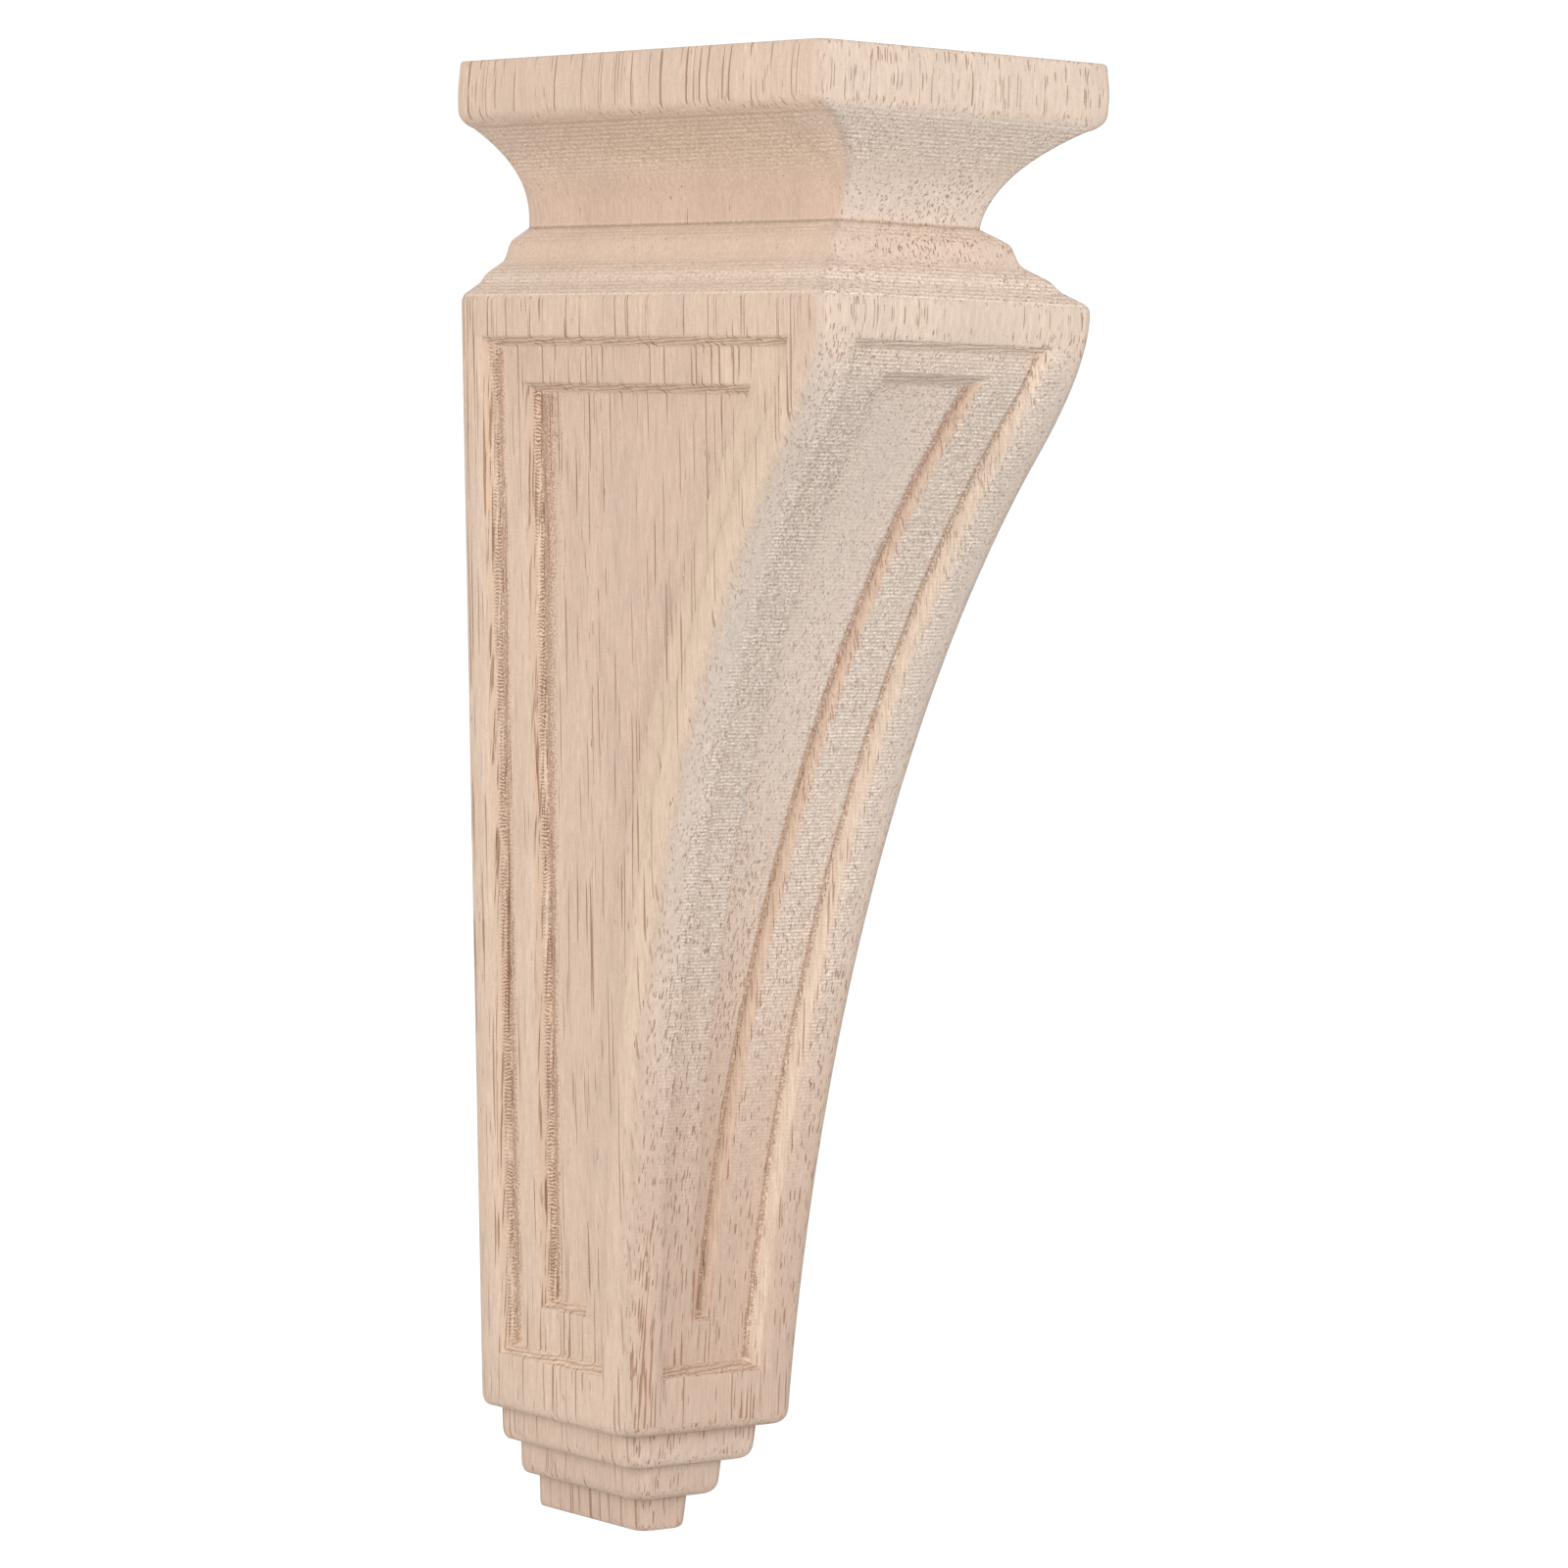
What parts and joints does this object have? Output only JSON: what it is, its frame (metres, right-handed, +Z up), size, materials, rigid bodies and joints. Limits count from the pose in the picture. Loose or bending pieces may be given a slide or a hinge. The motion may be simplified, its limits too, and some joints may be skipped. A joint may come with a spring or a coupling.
{
  "type": "carved wooden corbel",
  "caption": "Carved hardwood wall corbel with a moulded cap, a hollow swept front, nested sunk panels and a stepped foot, for carrying a shelf or mantel.",
  "frame": {"origin": "centre of the flat back face that goes against the wall, half way up the corbel", "axes": "+Z up; +Y into the wall, so the swept front faces -Y; +X across the corbel, which is symmetric about X = 0"},
  "size_m": [0.0764, 0.118, 0.305],
  "materials": {
    "raw_hardwood": "unfinished sanded hardwood with open pores and fine tool ridges"
  },
  "bodies": {
    "root": {"corbel": "raw_hardwood"}
  },
  "joints": []
}
